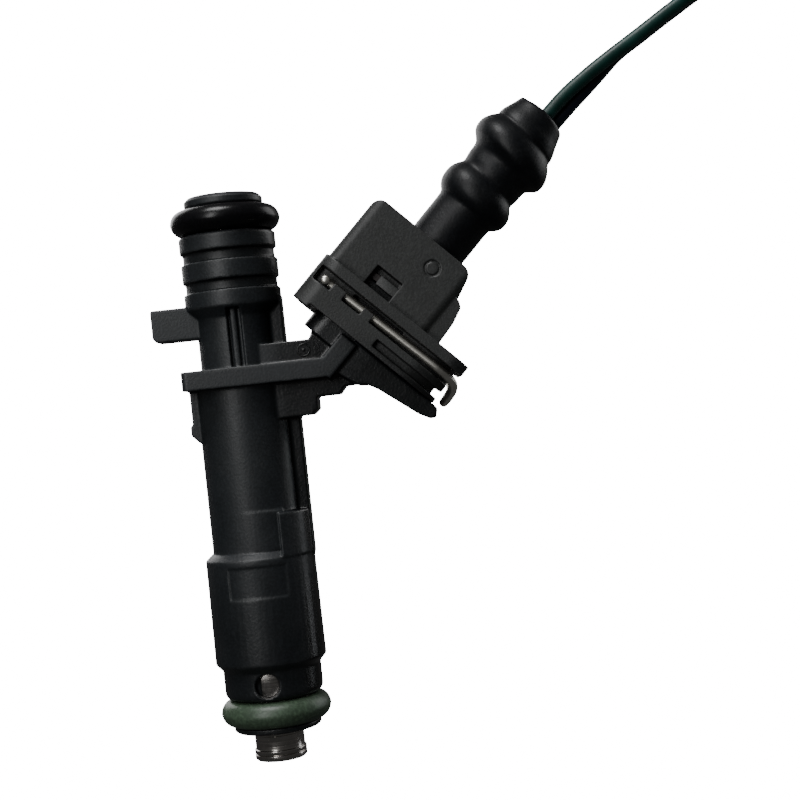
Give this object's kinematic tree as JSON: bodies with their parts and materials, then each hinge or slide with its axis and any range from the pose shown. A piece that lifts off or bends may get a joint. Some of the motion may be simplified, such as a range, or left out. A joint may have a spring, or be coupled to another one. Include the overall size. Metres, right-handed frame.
{
  "type": "fuel injector",
  "caption": "Top-feed fuel injector with a moulded body, two O-rings and a 45 degree socket, with its two-pin plug, wire clip, rubber boot and wires fitted.",
  "frame": {"origin": "centre of the nozzle's end face, which sits in the manifold's cup", "axes": "+Z along the injector's axis from the nozzle to the inlet, +X towards the side the connector leaves from, Y from front to back"},
  "size_m": [0.1032, 0.0168, 0.103],
  "materials": {
    "black_nylon": "moulded, slightly satin",
    "plug_plastic": "moulded, satin",
    "boot_rubber": "soft, slightly glossy",
    "green_rubber": "satin",
    "black_rubber": "glossy, oiled",
    "nozzle_steel": "turned, heat tinted",
    "ground_steel": "ground",
    "tube_steel": "drawn",
    "magnet_steel": "machined",
    "spring_steel": "drawn wire",
    "clip_steel": "drawn wire, warm tint",
    "brass": "turned",
    "filter_plastic": "moulded",
    "filter_mesh": "woven",
    "bobbin_plastic": "moulded",
    "enamelled_copper": "lacquered wire",
    "tinned_brass": "tinned",
    "seal_silicone": "soft",
    "green_insulation": "extruded, satin gloss",
    "dark_insulation": "extruded, satin gloss",
    "bare_copper": "bright"
  },
  "bodies": {
    "injector": {"nozzle_body": "nozzle_steel", "valve_seat": "ground_steel", "orifice_plate": "ground_steel", "return_spring": "spring_steel", "valve_sleeve": "tube_steel", "pole_core": "magnet_steel", "adjusting_sleeve": "brass", "inlet_tube": "tube_steel", "filter_collar": "brass", "filter_frame": "filter_plastic", "filter_screen": "filter_mesh", "coil_housing": "magnet_steel", "coil_bobbin": "bobbin_plastic", "coil_winding": "enamelled_copper", "flux_ring": "magnet_steel", "terminal_left": "tinned_brass", "terminal_right": "tinned_brass", "moulded_body": "black_nylon", "lower_retainer": "black_nylon", "lower_seal": "green_rubber", "upper_seal": "black_rubber", "inlet_cap": "black_nylon"},
    "needle": {"armature": "magnet_steel", "needle_tube": "tube_steel", "valve_ball": "ground_steel"},
    "plug": {"plug_housing": "plug_plastic", "plug_seal": "seal_silicone", "terminal_lock": "plug_plastic", "receptacle_left": "tinned_brass", "receptacle_right": "tinned_brass", "rubber_boot": "boot_rubber", "wire_green": "green_insulation", "wire_dark": "dark_insulation", "strands_green": "bare_copper", "strands_dark": "bare_copper"},
    "clip": {"wire_clip": "clip_steel"}
  },
  "joints": [
    {"name": "needle_lift", "type": "slide", "parent": "injector", "child": "needle", "axis": [0, 0, 1], "range_m": [0, 0.00012], "stiffness_N_per_m": 2000, "springref_m": -0.001, "deforming": ["return_spring"]},
    {"name": "plug_pull", "type": "slide", "parent": "injector", "child": "plug", "axis": [0.7071, 0, 0.7071], "range_m": [0, 0.012]},
    {"name": "clip_press", "type": "slide", "parent": "plug", "child": "clip", "axis": [-0.7071, 0, 0.7071], "range_m": [0, 0.0004], "stiffness_N_per_m": 1500}
  ]
}
